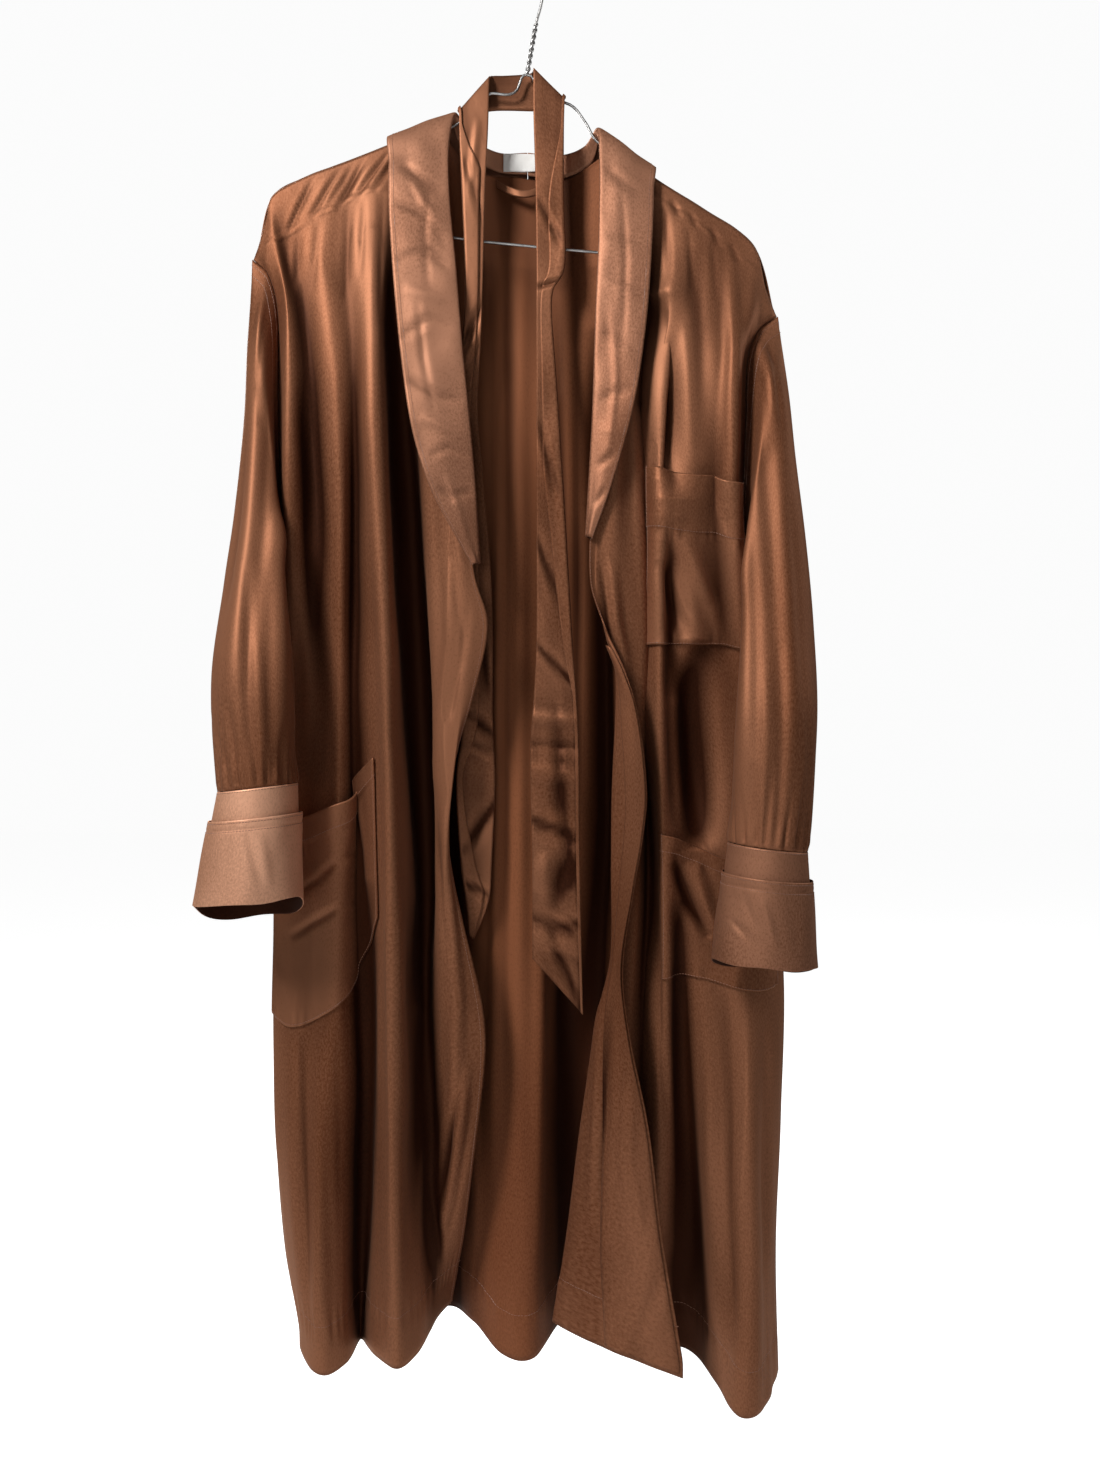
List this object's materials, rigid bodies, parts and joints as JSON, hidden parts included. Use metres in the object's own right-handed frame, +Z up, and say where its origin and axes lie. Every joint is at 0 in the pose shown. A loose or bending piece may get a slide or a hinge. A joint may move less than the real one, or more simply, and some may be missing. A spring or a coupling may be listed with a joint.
{
  "type": "long open satin robe on a wire hanger",
  "caption": "Long open satin robe with shawl collar, turn-back cuffs, patch pockets and a hanging belt, on a steel wire hanger.",
  "frame": {"origin": "under the crown of the hanger's hook, where it rests on a rod", "axes": "+Z up, -Y the way the front faces, +X to the right of someone who looks at the front"},
  "size_m": [0.5519, 0.1841, 1.3447],
  "materials": {
    "satin": "satin",
    "label": "matt",
    "wire": "satin"
  },
  "bodies": {
    "root": {"hanger": "wire", "front_right": "satin", "front_left": "satin", "back": "satin", "sleeve_right": "satin", "sleeve_left": "satin", "cuff_band_right": "satin", "cuff_band_left": "satin", "cuff_right": "satin", "cuff_left": "satin", "collar_right": "satin", "collar_left": "satin", "pocket_hip_right": "satin", "pocket_hip_left": "satin", "pocket_chest": "satin", "facing_left": "satin", "belt": "satin", "hanging_loop": "satin", "label": "label"}
  },
  "joints": []
}
